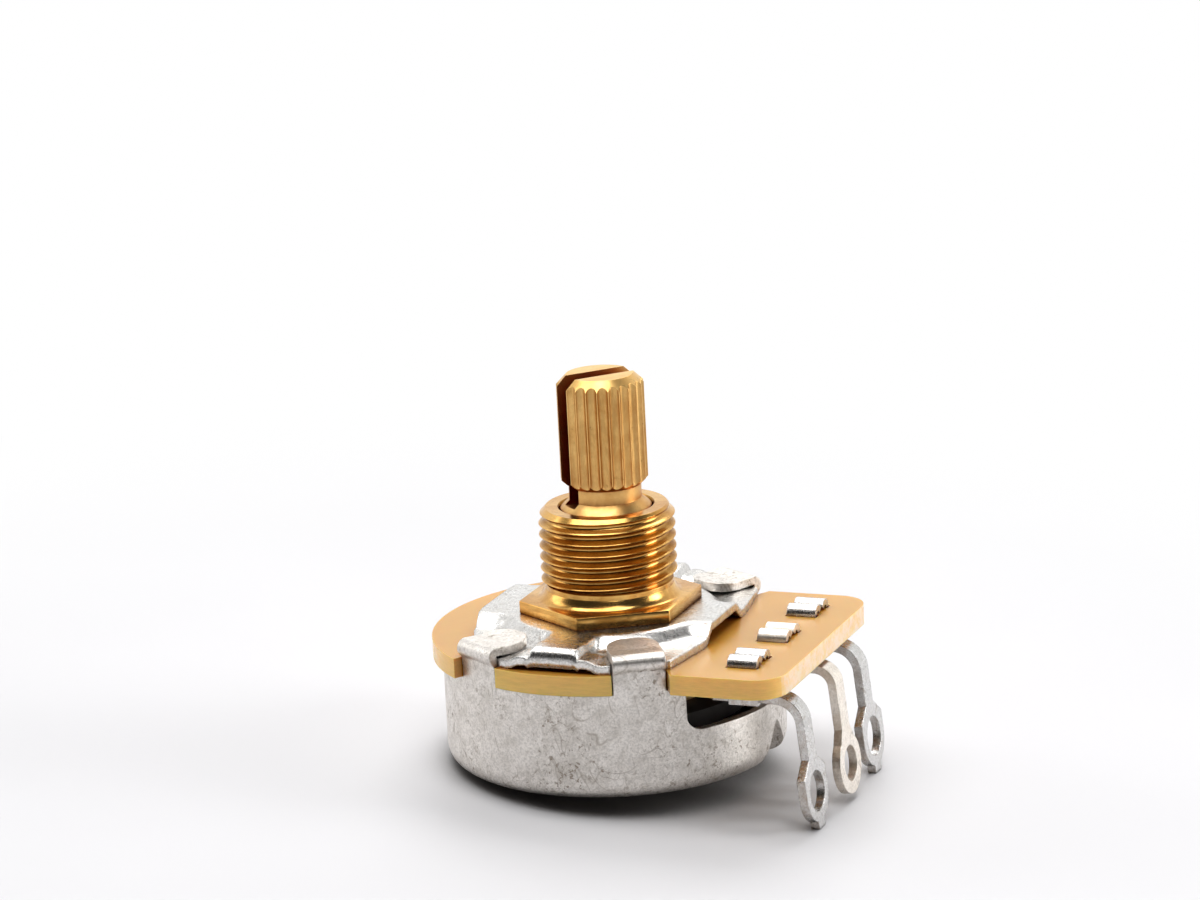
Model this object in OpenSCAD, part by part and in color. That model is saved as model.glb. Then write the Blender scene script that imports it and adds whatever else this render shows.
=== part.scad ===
/* [Control shaft] */
// Height of the shaft's tip above the panel seat
shaft_reach = 15.7; // [13:0.1:25]
// Diameter of the shaft inside the bushing
journal_d = 6.34; // [5.9:0.02:6.4]
// Diameter over the tips of the knurl's teeth
knurl_d = 6.04; // [5.6:0.02:6.1]
// Length of the knurled end with both chamfers
knurl_len = 7.8; // [6:0.1:9]
// Number of teeth in the knurl
knurl_teeth = 24; // [18:1:36]
// Depth of each groove between two teeth
knurl_depth = 0.28; // [0.15:0.01:0.3]
// Share of the knurl's pitch that a groove takes
knurl_share = 0.92; // [0.7:0.01:0.95]
// Depth of the chamfer at the shaft's tip
tip_chamfer = 0.68; // [0.3:0.02:0.9]
// Depth of the chamfer at the knurl's lower end
heel_chamfer = 0.45; // [0.3:0.05:0.5]
// Diameter of the neck below the knurl
neck_d = 5.02; // [4.6:0.02:5.2]
// Length of the neck between knurl and flare
neck_len = 1.15; // [0.8:0.05:1.6]
// Height of the flare from the neck to the full diameter
flare_h = 0.45; // [0.3:0.05:0.6]
// Width of the slot that splits the shaft
slot_w = 1.5; // [0.8:0.1:1.8]
// Depth of the slot from the shaft's tip
slot_depth = 9.1; // [8:0.1:9.4]
// Direction of the slot with the shaft at mid travel
slot_angle = 47; // [0:1:179]
// Distance across the two flats of the tenon that drives the rotor
tenon_flats = 3.1; // [2.6:0.1:3.5]
// Diameter of that tenon
tenon_d = 4.2; // [3.8:0.1:4.6]
// Diameter of the staked head at the shaft's rear end
stake_head_d = 5; // [4.8:0.1:6]

/* [Bushing] */
// Major diameter of the bushing's thread
thread_d = 9.525; // [9:0.005:10]
// Height of the bushing above the panel seat
bushing_h = 6.4; // [5.5:0.1:10]
// Height of the turned relief above the panel seat
relief_h = 1.05; // [0.8:0.05:1.3]
// Diameter of the turned relief under the thread
relief_d = 8.9; // [8.6:0.1:9]
// Diameter of the fillet's foot on the hexagon
root_d = 10.2; // [9.8:0.1:10.6]
// Depth of the chamfer at the bushing's mouth
mouth_chamfer = 0.54; // [0.3:0.02:0.7]
// Depth of the countersink at the bore's mouth
countersink = 0.16; // [0.1:0.01:0.3]
// Width of the hexagonal flange across its flats
hex_af = 11.1; // [10.9:0.05:11.5]
// Thickness of the hexagonal flange
hex_t = 0.9; // [0.7:0.05:1.6]
// Diameter of the spigot that passes through the plate
spigot_d = 8.6; // [8.2:0.1:8.8]
// Diameter of the staked collar behind the plate
collar_d = 9.8; // [9.4:0.1:10]
// Thickness of the staked collar
collar_t = 0.45; // [0.3:0.05:0.6]
// Length of the bushing's tail behind the plate
tail_len = 1.1; // [0.9:0.05:1.15]
// Diameter of the tail
tail_d = 7.9; // [7.6:0.1:8.1]

/* [Mounting plate] */
// Thickness of the pressed plate
plate_t = 0.6; // [0.5:0.05:0.8]
// Height of the raised centre above the four feet
plate_rise = 0.85; // [0.6:0.05:1]
// Width of the flat top around the hexagon's corners
crown_w = 0.5; // [0.4:0.1:0.7]
// Half width of the flat ridge that runs to the lugs' side
ridge_half = 2.3; // [2:0.1:3]
// Half width of the flat ridge that runs to the opposite side
back_ridge_half = 3.4; // [2.6:0.1:3.6]
// Width of the slope from the raised parts to the feet
slope_w = 1.35; // [1.2:0.05:1.5]
// Distance of the edge on the lugs' side inside the can's wall
front_inset = 3.55; // [3.45:0.05:3.85]
// Distance of the two feet on that side inside the can's wall
front_foot_inset = 4.25; // [4.05:0.05:4.45]
// Distance of the edge on the opposite side inside the can's wall
back_inset = 3.2; // [2.85:0.05:3.45]
// Distance of the two feet on that side inside the can's wall
back_foot_inset = 4.15; // [4.05:0.05:4.45]
// Distance of the feet's round ends inside the can's wall
foot_inset = 0.25; // [0.15:0.05:0.55]
// Half width of the window between two feet
window_half = 2.95; // [2.8:0.05:3.1]
// Depth of the window between two feet
window_depth = 2.2; // [2:0.1:2.5]
// Width of each curled ear in a window
ear_w = 3.14; // [2.6:0.1:3.6]
// Distance of an ear's end inside the can's wall
ear_inset = 0.65; // [0.45:0.05:0.85]
// Height of an ear's crest above the raised centre
ear_crest = 0.15; // [0.05:0.05:0.35]

/* [Terminal board] */
// Thickness of the board
board_t = 1.4; // [1.2:0.1:2]
// Overhang of the board's round end over the can's wall
board_overhang = 0.68; // [0.35:0.01:1.15]
// Overhang of the board between two tabs
board_lip = 0.1; // [0.05:0.05:0.25]
// Width of the board beside the centre line of an outer lug
board_side = 4; // [3.7:0.1:4.3]
// Reach of the board beyond the can's wall on the lugs' side
board_reach = 3.8; // [3.6:0.05:4]
// Radius of the corners at the lugs' end
board_corner = 2.2; // [1:0.1:3]
// Clearance of the board's centre hole round the staked collar
board_bore_gap = 0.35; // [0.2:0.05:0.45]

/* [Can] */
// Outer radius of the can
can_r = 11.85; // [11.75:0.05:11.9]
// Height of the can up to its rim
can_h = 7.55; // [7.4:0.05:9]
// Thickness of the can's sheet
can_t = 0.6; // [0.5:0.05:0.65]
// Outer radius of the corner at the can's rear
can_corner = 1.35; // [1:0.05:1.5]
// Direction of the tabs from the lugs' side
tab_angle = 60; // [58:1:62]
// Width of each tab
tab_w = 3.6; // [3.2:0.1:3.9]
// Reach of a folded tab from the can's wall inwards
tab_reach = 3.75; // [3.45:0.05:3.85]
// Radius of the rounded corners at a tab's end
tab_corner = 1.5; // [0.6:0.1:1.6]
// Width of the notch beside the centre line of an outer lug
notch_side = 2.2; // [1.9:0.1:2.4]
// Radius of the notch's lower corners
notch_corner = 1; // [0.4:0.1:1.4]
// Depth of that notch from the rim
notch_depth = 3.15; // [2.9:0.05:3.2]
// Radius of the stop dent's cone at the can's rear
dent_r = 2.4; // [2.2:0.05:2.5]
// Height at which the stop dent fades out
dent_h = 3.2; // [3:0.1:3.3]
// Distance of the dent cone's axis outside the wall
dent_out = 0.2; // [0.1:0.05:0.3]

/* [Lugs] */
// Distance between neighbouring lugs
lug_pitch = 6.1; // [5.8:0.1:6.3]
// Thickness of a lug
lug_t = 0.6; // [0.5:0.05:0.65]
// Width of a lug's strip
lug_w = 1.5; // [1.2:0.1:1.8]
// Outward lean of a lug's leg
lug_lean = 6; // [2:0.5:9]
// Length of an outer lug's foot under the board
outer_foot_len = 4.4; // [4:0.1:4.6]
// Distance of the outer lugs' bends inside the board's end
outer_bend_inset = 1.45; // [1.25:0.05:1.65]
// Outer bend radius of the outer lugs
outer_bend_r = 2.1; // [1.8:0.1:2.3]
// Distance of the centre lug's bend inside the board's end
centre_bend_inset = 0.7; // [0.55:0.05:1.05]
// Outer bend radius of the centre lug
centre_bend_r = 1.6; // [1.4:0.1:1.9]
// Height of the eyes' centres above the can's rear face
eye_z = 0.1; // [0:0.1:1]
// Hole radius of the outer lugs' eyes
outer_eye_r = 1.4; // [1.1:0.05:1.45]
// Hole radius of the centre lug's eye
centre_eye_r = 1.25; // [1:0.05:1.4]
// Outside radius of the eyes
eye_ring_r = 2.1; // [1.9:0.05:2.2]
// Length of the stub below an outer eye
stub_len = 0.45; // [0.2:0.05:0.6]
// Width of that stub
stub_w = 1.2; // [0.8:0.1:1.4]
// Distance from the board's end to the crimp prongs
prong_inset = 2.35; // [2.2:0.05:2.5]
// Width of a crimp prong
prong_w = 2.1; // [1.8:0.1:2.2]
// Thickness of a crimp prong
prong_t = 0.45; // [0.35:0.05:0.5]
// Half of the distance over a pair of prongs
prong_half = 1.45; // [1.4:0.05:1.6]
// Outer radius of a prong's curl
curl_r = 0.7; // [0.6:0.05:0.7]

/* [Resistance element] */
// Thickness of the horseshoe that carries the track
element_t = 0.6; // [0.5:0.05:0.7]
// Clearance between the horseshoe and the can's wall
element_gap = 0.25; // [0.2:0.05:0.45]
// Clearance between the horseshoe and the collector
collector_gap = 0.6; // [0.5:0.05:0.8]
// Thickness of the carbon and silver films
film_t = 0.05; // [0.04:0.01:0.1]
// Bare margin of the horseshoe beside the track
track_margin = 0.55; // [0.45:0.05:0.7]
// Angle that a silver pad covers at the end of the track
pad_angle = 16; // [12:1:18]
// Angle by which the horseshoe reaches past a silver pad
horseshoe_lead = 6; // [4:0.5:7]
// Thickness of the collector ring
collector_t = 0.3; // [0.2:0.05:0.35]
// Clearance between the collector and the board's centre hole
collector_inset = 0.35; // [0.3:0.05:0.4]
// Width of the collector ring
collector_w = 1.6; // [1.4:0.1:1.7]

/* [Rotor] */
// Angle through which the shaft turns from stop to stop
travel = 300; // [290:1:304]
// Thickness of the stop plate
stop_t = 0.8; // [0.6:0.1:1]
// Clearance between the stop plate's ear and the can's wall
stop_inset = 0.35; // [0.3:0.05:0.55]
// Height of the rotor moulding
rotor_h = 3; // [2.6:0.1:3.2]
// Thickness of the rotor's disc
web_t = 1.2; // [0.9:0.1:1.5]
// Clearance between the rotor's disc and the can's wall
rotor_inset = 1.85; // [1.5:0.05:2]
// Radius of the rotor's hub
hub_r = 4.4; // [4.2:0.1:4.6]
// Thickness of the contact spring
spring_t = 0.2; // [0.15:0.01:0.25]
// Distance of the contact spring's edge inside the collector's edge
spring_inset = 0.2; // [0.1:0.05:0.4]
// Number of fingers on the carbon track
track_fingers = 4; // [2:1:5]
// Number of fingers on the collector
collector_fingers = 2; // [2:1:3]
// Gap between two fingers
finger_gap = 0.25; // [0.2:0.05:0.4]
// Width of a finger
finger_w = 0.65; // [0.4:0.05:0.7]
// Diameter of a rivet's shank
rivet_d = 1.2; // [1:0.1:1.4]
// Thickness of the retaining ring
clip_t = 0.5; // [0.4:0.05:0.6]
// Depth of the retaining ring's groove in the shaft
groove_depth = 0.52; // [0.4:0.02:0.6]
// Outer radius of the retaining ring and the washers
washer_r = 4.2; // [4:0.05:4.3]
// Thickness of the thrust washer
thrust_t = 0.25; // [0.2:0.05:0.3]
// Thickness of the spring washer
washer_t = 0.2; // [0.15:0.01:0.25]
// Bow of the spring washer
washer_bow = 0.2; // [0.1:0.02:0.22]

/* [Clearances] */
// Radial running clearance of the shaft in its bushing
run_gap = 0.03; // [0.02:0.01:0.06]
// Clearance between pieces that are assembled and don't move
seat_gap = 0.03; // [0.02:0.01:0.05]
// Clearance round the tabs and prongs in their cut-outs
slot_gap = 0.1; // [0.08:0.01:0.15]
// Distance of the contact fingers from the tracks
touch_gap = 0.05; // [0.04:0.01:0.08]
// Distance of the shaft's rear end from the can
end_gap = 0.1; // [0.05:0.01:0.2]
// Angle left between ear and dent at each end of the travel
stop_gap = 0.5; // [0.3:0.1:1]

/* [Hidden] */
$fn = 96;

cut = 1;
far = 40;
arc_steps = 12;

// Levels along the axis, from the can's rear face upwards
board_z = can_h;
foot_z = board_z + board_t;
foot_top = foot_z + plate_t;
crown_z = foot_top + plate_rise;
seat_z = crown_z + hex_t;
mouth_z = seat_z + bushing_h;
tip_z = seat_z + shaft_reach;
film_z = board_z - element_t - film_t;
collector_z = board_z - collector_t;
tail_z = crown_z - plate_t - tail_len;

// Levels of the rotor, from the can's floor upwards
shaft_end_z = can_t + end_gap;
stop_z = shaft_end_z + 0.3;
rotor_z = stop_z + stop_t;
spring_z = rotor_z + rotor_h;
thrust_z = tail_z - seat_gap - thrust_t;
clip_z = thrust_z - 2 * seat_gap - washer_t - washer_bow - clip_t;

// Radii that follow from the driving dimensions
bore_r = journal_d / 2 + run_gap;
can_in_r = can_r - can_t;
can_in_corner = can_corner - can_t;
tab_mid_r = can_r - can_t / 2;
tab_end_r = can_r - tab_reach;

// Plate and board, measured from the can's wall
crown_r = hex_af / 2 / cos(30) + crown_w;
front_edge = can_r - front_inset;
front_foot = can_r - front_foot_inset;
back_edge = can_r - back_inset;
back_foot = can_r - back_foot_inset;
foot_r = can_r - foot_inset;
window_edge = foot_r - window_depth;
ear_reach = can_r - ear_inset;
board_r = can_r + board_overhang;
board_waist_r = can_r + board_lip;
board_half = lug_pitch + board_side;
board_end_x = can_r + board_reach;
board_bore_r = collar_d / 2 + board_bore_gap;
notch_half = lug_pitch + notch_side;

// Lugs, measured from the board's end
outer_bend_x = board_end_x - outer_bend_inset;
centre_bend_x = board_end_x - centre_bend_inset;
prong_x = board_end_x - prong_inset - prong_w;
foot_start = outer_bend_x - outer_foot_len;

// Rings from the board's centre hole out to the can's wall
collector_in_r = board_bore_r + collector_inset;
collector_out_r = collector_in_r + collector_w;
element_bore_r = collector_out_r + collector_gap;
element_r = can_in_r - element_gap;
track_in_r = element_bore_r + track_margin;
track_out_r = element_r - track_margin;
track_r = (track_in_r + track_out_r) / 2;
collector_r = (collector_in_r + collector_out_r) / 2;
stop_r = can_in_r - stop_inset;
rotor_r = can_in_r - rotor_inset;
spring_r = collector_out_r - spring_inset;
rivet_r = spring_r - rivet_d;
tab_slot_r = sqrt(can_in_r * can_in_r - tab_w * tab_w / 4) - slot_gap;
tab_wall_top = foot_z + 0.12;
washer_in_r = journal_d / 2 + 0.1;

// The dent is a cone, and the bump inside the wall is the same cone one sheet away
dent_slope = dent_r / dent_h;
bump_extra = can_t * sqrt(1 + dent_slope * dent_slope);
dent_x = can_r + dent_out;
function bump_r(z) = dent_r - dent_slope * z + bump_extra;
function bump_angle(r, z) =
    acos((r * r + dent_x * dent_x - bump_r(z) * bump_r(z)) / (2 * r * dent_x));
ear_half = 180 - travel / 2 - bump_angle(stop_r, stop_z) - stop_gap;

// Points of an arc, and a bent strip of even thickness along a middle line
function arc(c, r, a0, a1, n = arc_steps) =
    [for (i = [0:n]) let (a = a0 + (a1 - a0) * i / n) c + r * [cos(a), sin(a)]];
function unit(v) = v / norm(v);
function left(v) = [-v[1], v[0]];
function dir_in(p, i) = i == 0 ? unit(p[1] - p[0]) : unit(p[i] - p[i - 1]);
function dir_out(p, i) = i == len(p) - 1 ? dir_in(p, i) : unit(p[i + 1] - p[i]);
function miter(p, i, t) =
    let (n1 = left(dir_in(p, i)), m = unit(n1 + left(dir_out(p, i)))) m * t / 2 / (m * n1);
function ribbon(p, t) = concat(
    [for (i = [0:len(p) - 1]) p[i] + miter(p, i, t)],
    [for (i = [len(p) - 1:-1:0]) p[i] - miter(p, i, t)]
);

// A bent strip whose middle line lies in the XZ plane, centred on y = 0
module strip_xz(line, t, w) {
    rotate([90, 0, 0])
        linear_extrude(w, center = true)
            polygon(ribbon(line, t));
}

module ring(r_out, r_in, h) {
    difference() {
        cylinder(h, r = r_out);
        translate([0, 0, -cut]) cylinder(h + 2 * cut, r = r_in);
    }
}

// A flat wedge that reaches from the axis outwards between two angles
module wedge(a0, a1, z, h) {
    translate([0, 0, z])
        linear_extrude(h)
            polygon(concat([[0, 0]], arc([0, 0], far, a0, a1, 6)));
}

module at_tabs() {
    for (a = [tab_angle, 180 - tab_angle, -tab_angle, tab_angle - 180]) rotate([0, 0, a]) children();
}

module at_lugs() {
    for (i = [-1:1]) translate([0, i * lug_pitch, 0]) children();
}

module mirrored_y() {
    children();
    mirror([0, 1, 0]) children();
}

// Housing can with its terminal notch, stop dent and folded tabs

module can_profile(r, corner, z0, z1) {
    translate([0, z0 + corner]) square([r, z1 - z0 - corner]);
    translate([0, z0]) square([r - corner, corner + 0.01]);
    intersection() {
        translate([r - corner, z0 + corner]) circle(corner);
        translate([0, z0]) square([r, corner + 0.01]);
    }
}

module can_cavity() {
    difference() {
        rotate_extrude() can_profile(can_in_r, can_in_corner, can_t, tab_wall_top + cut);
        translate([dent_x, 0, 0])
            cylinder(dent_h + bump_extra / dent_slope, r1 = dent_r + bump_extra, r2 = 0);
    }
}

// Everything above the rim goes, but for the four tabs
module above_rim() {
    difference() {
        translate([0, 0, board_z]) cylinder(far, r = far);
        at_tabs() translate([0, -tab_w / 2, board_z - cut]) cube([2 * far, tab_w, far + 2 * cut]);
    }
}

module can_notch() {
    z = board_z - notch_depth;
    y = notch_half - notch_corner;
    rotate([90, 0, 90])
        linear_extrude(far) {
            translate([-notch_half, z + notch_corner]) square([2 * notch_half, notch_depth]);
            translate([-y, z]) square([2 * y, notch_depth]);
            for (s = [-1, 1]) translate([s * y, z + notch_corner]) circle(notch_corner);
        }
}

module can_shell() {
    difference() {
        rotate_extrude() can_profile(can_r, can_corner, 0, tab_wall_top);
        can_cavity();
        translate([dent_x, 0, -cut])
            cylinder(dent_h + cut, r1 = dent_r + cut * dent_slope, r2 = 0);
        can_notch();
        above_rim();
    }
}

// Middle line of a folded tab in the plane through the axis
loop_r = can_t / 2 + 0.06;
loop_x = can_in_r + 0.2;
loop_z = foot_top + 0.08;
tab_line = concat(
    [[tab_mid_r - 0.1, board_z + 0.9], [tab_mid_r - 0.08, tab_wall_top]],
    arc([loop_x, loop_z], loop_r, -48, 98),
    [[tab_end_r + 2, foot_top + can_t / 2 + 0.04], [tab_end_r, foot_top + can_t / 2 + 0.22]]
);

module tab_plan() {
    translate([tab_end_r + tab_corner, -tab_w / 2]) square([can_r, tab_w]);
    translate([tab_end_r, -tab_w / 2 + tab_corner]) square([can_r, tab_w - 2 * tab_corner]);
    for (s = [-1, 1])
        translate([tab_end_r + tab_corner, s * (tab_w / 2 - tab_corner)]) circle(tab_corner, $fn = 48);
}

module can_tab() {
    intersection() {
        strip_xz(tab_line, can_t, tab_w);
        translate([0, 0, board_z]) linear_extrude(far) tab_plan();
    }
}

module housing_can() {
    color([0.78, 0.77, 0.75]) {
        can_shell();
        at_tabs() can_tab();
    }
}

// Mounting plate, pressed from one sheet

// An even S-curve down from the raised parts, which starts at x
slope_steps = 8;
function slope_points(x) =
    [for (i = [0:slope_steps])
        [x + slope_w * i / slope_steps, -plate_rise * (1 - cos(180 * i / slope_steps)) / 2]];

module round_form(r, h) {
    rotate_extrude()
        polygon(concat([[0, -h], [0, 0]], slope_points(r), [[r + slope_w, -h]]));
}

// A ridge that runs from the axis along +X
module ridge_form(half_w, length, h) {
    half = slope_points(half_w);
    last = len(half) - 1;
    rotate([90, 0, 90])
        linear_extrude(length)
            polygon(concat(
                [[-half[last][0], -h]],
                [for (i = [last:-1:0]) [-half[i][0], half[i][1]]],
                half,
                [[half[last][0], -h]]
            ));
}

module raised_form(top) {
    h = plate_rise + plate_t + cut;
    translate([0, 0, top]) {
        round_form(crown_r, h);
        ridge_form(ridge_half, front_edge + cut, h);
        rotate([0, 0, 180]) ridge_form(back_ridge_half, back_edge + cut, h);
    }
}

module plate_edge() {
    front_y = ridge_half + slope_w + 0.5;
    foot_y = foot_r - 2.6;
    back_y = back_ridge_half + slope_w + 0.3;
    right = [[front_edge, 0], [front_edge, front_y], [front_foot, foot_y], [front_foot, far]];
    behind = [
        [-back_foot, far],
        [-back_foot, back_y + 1.3],
        [0.4 - back_edge, back_y],
        [-back_edge, back_y - 2.6]
    ];
    half = concat(right, behind);
    polygon(concat(half, [for (i = [len(half) - 1:-1:1]) [half[i][0], -half[i][1]]]));
}

module plate_plan() {
    difference() {
        intersection() {
            circle(foot_r);
            plate_edge();
        }
        mirrored_y() translate([-window_half, window_edge]) square([2 * window_half, far]);
        at_tabs()
            translate([tab_slot_r, -tab_w / 2 - slot_gap]) square([far, tab_w + 2 * slot_gap]);
        circle(spigot_d / 2 + seat_gap);
    }
}

// Middle line of a curled ear in the plane through the axis
ear_mid = crown_z - plate_t / 2;
ear_line = [
    [crown_r - 1.2, ear_mid],
    [crown_r + 0.4, ear_mid],
    [crown_r + 1.5, ear_mid - 0.06],
    [ear_reach - 1.35, ear_mid + ear_crest],
    [ear_reach - 0.85, ear_mid + ear_crest - 0.04],
    [ear_reach - 0.5, ear_mid + ear_crest - 0.3],
    [ear_reach - plate_t / 2, ear_mid - 0.25],
    [ear_reach - plate_t / 2, ear_mid - 0.75]
];

module mounting_plate() {
    color([0.75, 0.75, 0.74]) {
        difference() {
            intersection() {
                union() {
                    translate([0, 0, foot_z]) cylinder(plate_t, r = far / 2);
                    raised_form(crown_z);
                }
                translate([0, 0, foot_z]) linear_extrude(far) plate_plan();
            }
            raised_form(crown_z - plate_t);
            mirrored_y()
                translate([-ear_w / 2, crown_r, foot_z - cut]) cube([ear_w, far, far]);
        }
        mirrored_y()
            rotate([0, 0, 90]) strip_xz(ear_line, plate_t, ear_w);
    }
}

// Threaded bushing with its hexagonal flange and staked tail

module bushing_body() {
    rotate_extrude()
        polygon([
            [0, tail_z],
            [tail_d / 2 - 0.2, tail_z],
            [tail_d / 2, tail_z + 0.2],
            [tail_d / 2, crown_z - plate_t - collar_t],
            [collar_d / 2 - 0.2, crown_z - plate_t - collar_t],
            [collar_d / 2, crown_z - plate_t - collar_t + 0.2],
            [collar_d / 2, crown_z - plate_t],
            [spigot_d / 2, crown_z - plate_t],
            [spigot_d / 2, crown_z],
            [spigot_d / 2, seat_z],
            [root_d / 2, seat_z],
            [root_d / 2 - 0.3, seat_z + 0.13],
            [root_d / 2 - 0.5, seat_z + 0.33],
            [relief_d / 2, seat_z + 0.6],
            [relief_d / 2, seat_z + relief_h - 0.15],
            [thread_d / 2, seat_z + relief_h],
            [thread_d / 2, mouth_z - mouth_chamfer],
            [thread_d / 2 - mouth_chamfer, mouth_z],
            [0, mouth_z]
        ]);
    translate([0, 0, crown_z])
        rotate([0, 0, 30])
            cylinder(hex_t, r = hex_af / 2 / cos(30), $fn = 6);
}

module threaded_bushing() {
    color([0.80, 0.58, 0.24])
        difference() {
            bushing_body();
            translate([0, 0, tail_z - cut]) cylinder(mouth_z - tail_z + 2 * cut, r = bore_r);
            translate([0, 0, mouth_z - countersink])
                cylinder(countersink + 0.01, r1 = bore_r, r2 = bore_r + countersink + 0.01);
        }
}

// Control shaft with its knurled and split end

knurl_r = knurl_d / 2;
knurl_z = tip_z - knurl_len;
neck_z = knurl_z - neck_len;
flare_z = neck_z - flare_h;
groove_r = journal_d / 2 - groove_depth;

module shaft_body() {
    rotate_extrude()
        polygon([
            [0, shaft_end_z],
            [stake_head_d / 2 - 0.25, shaft_end_z],
            [stake_head_d / 2, stop_z - 0.05],
            [stake_head_d / 2, stop_z],
            [tenon_d / 2, stop_z],
            [tenon_d / 2, spring_z],
            [journal_d / 2, spring_z],
            [journal_d / 2, clip_z - seat_gap],
            [groove_r, clip_z - seat_gap],
            [groove_r, clip_z + clip_t + seat_gap],
            [journal_d / 2, clip_z + clip_t + seat_gap],
            [journal_d / 2, flare_z],
            [neck_d / 2 + 0.3, neck_z - 0.12],
            [neck_d / 2, neck_z + 0.15],
            [neck_d / 2, knurl_z],
            [knurl_r - heel_chamfer, knurl_z],
            [knurl_r, knurl_z + heel_chamfer],
            [knurl_r, tip_z - tip_chamfer],
            [knurl_r - tip_chamfer, tip_z],
            [0, tip_z]
        ]);
}

module tenon_cut(flats, z0, z1) {
    mirrored_y()
        translate([-far / 2, flats / 2, z0]) cube([far, far, z1 - z0]);
}

// A groove is a round cutter's track, as wide as its share of the pitch
knurl_half = 180 / knurl_teeth * knurl_share;
groove_half_w = knurl_r * sin(knurl_half);
groove_sag = knurl_depth - knurl_r * (1 - cos(knurl_half));
cutter_r = (groove_half_w * groove_half_w + groove_sag * groove_sag) / (2 * groove_sag);

module knurl_groove() {
    translate([knurl_r - knurl_depth + cutter_r, 0, knurl_z - cut / 2])
        cylinder(knurl_len + cut, r = cutter_r, $fn = 48);
}

module control_shaft() {
    color([0.80, 0.58, 0.24])
        difference() {
            shaft_body();
            tenon_cut(tenon_flats, stop_z, spring_z);
            for (i = [0:knurl_teeth - 1])
                rotate([0, 0, slot_angle + (i + 0.5) * 360 / knurl_teeth]) knurl_groove();
            rotate([0, 0, slot_angle])
                translate([-far / 2, -slot_w / 2, tip_z - slot_depth]) cube([far, slot_w, far]);
        }
}

// Terminal board, punched from phenolic sheet

module board_end() {
    x = board_end_x - board_corner;
    y = board_half - board_corner;
    translate([0, -board_half]) square([x, 2 * board_half]);
    translate([0, -y]) square([board_end_x, 2 * y]);
    for (s = [-1, 1]) translate([x, s * y]) circle(board_corner, $fn = 64);
}

module prong_slot() {
    for (s = [0, 1])
        mirror([0, s])
            translate([prong_x - slot_gap, prong_half - prong_t - slot_gap])
                square([prong_w + 2 * slot_gap, prong_t + 2 * slot_gap]);
}

module board_plan() {
    difference() {
        union() {
            circle(board_waist_r);
            intersection() {
                circle(board_r);
                translate([-far / 2, -board_half]) square([far / 2, 2 * board_half]);
            }
            board_end();
        }
        at_tabs() translate([tab_slot_r, -tab_w / 2 - slot_gap]) square([far, tab_w + 2 * slot_gap]);
        circle(board_bore_r);
        at_lugs() prong_slot();
    }
}

module terminal_board() {
    color([0.86, 0.66, 0.34])
        translate([0, 0, board_z]) linear_extrude(board_t) board_plan();
}

// Resistance element, its films and the collector

tongue_w = 2 * (prong_half - prong_t - slot_gap);
tongue_end = prong_x + prong_w + 0.3;
pad_inset = 0.1;
pad_w = tongue_w - 2 * pad_inset;

// Half angles: where the track ends, where its silver pad ends and where the horseshoe ends
track_gap = asin((lug_pitch + pad_w / 2) / track_out_r);
pad_gap = track_gap - pad_angle;
horseshoe_gap = pad_gap - horseshoe_lead;
pad_start = track_out_r * cos(track_gap) + pad_inset;

module outer_tongue(x0, x1, w, side) {
    translate([x0, side * lug_pitch - w / 2]) square([x1 - x0, w]);
}

module element_horseshoe() {
    color([0.55, 0.36, 0.18])
        translate([0, 0, board_z - element_t])
            difference() {
                linear_extrude(element_t) {
                    circle(element_r);
                    for (s = [-1, 1]) outer_tongue(element_bore_r, tongue_end, tongue_w, s);
                }
                translate([0, 0, -cut]) cylinder(element_t + 2 * cut, r = element_bore_r);
                wedge(-horseshoe_gap, horseshoe_gap, -cut, element_t + 2 * cut);
            }
}

module carbon_track() {
    color([0.12, 0.12, 0.12])
        difference() {
            translate([0, 0, film_z]) ring(track_out_r, track_in_r, film_t);
            wedge(-track_gap, track_gap, film_z - cut, film_t + 2 * cut);
        }
}

module silver_pad(side) {
    intersection() {
        translate([0, 0, film_z]) ring(track_out_r, track_in_r, film_t);
        wedge(side * pad_gap, side * track_gap, film_z - cut, film_t + 2 * cut);
    }
    translate([0, 0, film_z])
        linear_extrude(film_t) outer_tongue(pad_start, tongue_end - pad_inset, pad_w, side);
}

module start_silver_pad() {
    color([0.82, 0.81, 0.78]) silver_pad(-1);
}

module end_silver_pad() {
    color([0.82, 0.81, 0.78]) silver_pad(1);
}

module collector_ring() {
    color([0.84, 0.82, 0.76])
        translate([0, 0, collector_z])
            difference() {
                linear_extrude(collector_t) {
                    circle(collector_out_r);
                    translate([collector_r, -tongue_w / 2]) square([tongue_end - collector_r, tongue_w]);
                }
                translate([0, 0, -cut])
                    cylinder(collector_t + 2 * cut, r = collector_in_r);
            }
}

// Lugs, each one strip with an eye, a foot under the board and two crimp prongs

function lug_line(x0, bend_x, bend_r, top) =
    let (r = bend_r - lug_t / 2, c = [bend_x, top - bend_r])
    concat([[x0, c[1] + r]], arc(c, r, 90, lug_lean));

module prong(top) {
    base = top - lug_t;
    line = concat(
        [[prong_half - prong_t / 2, base], [prong_half - prong_t / 2, foot_z]],
        arc([prong_half - curl_r, foot_z], curl_r - prong_t / 2, 4, 158)
    );
    translate([prong_x + prong_w / 2, 0, 0])
        rotate([0, 0, 90]) strip_xz(line, prong_t, prong_w);
}

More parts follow.
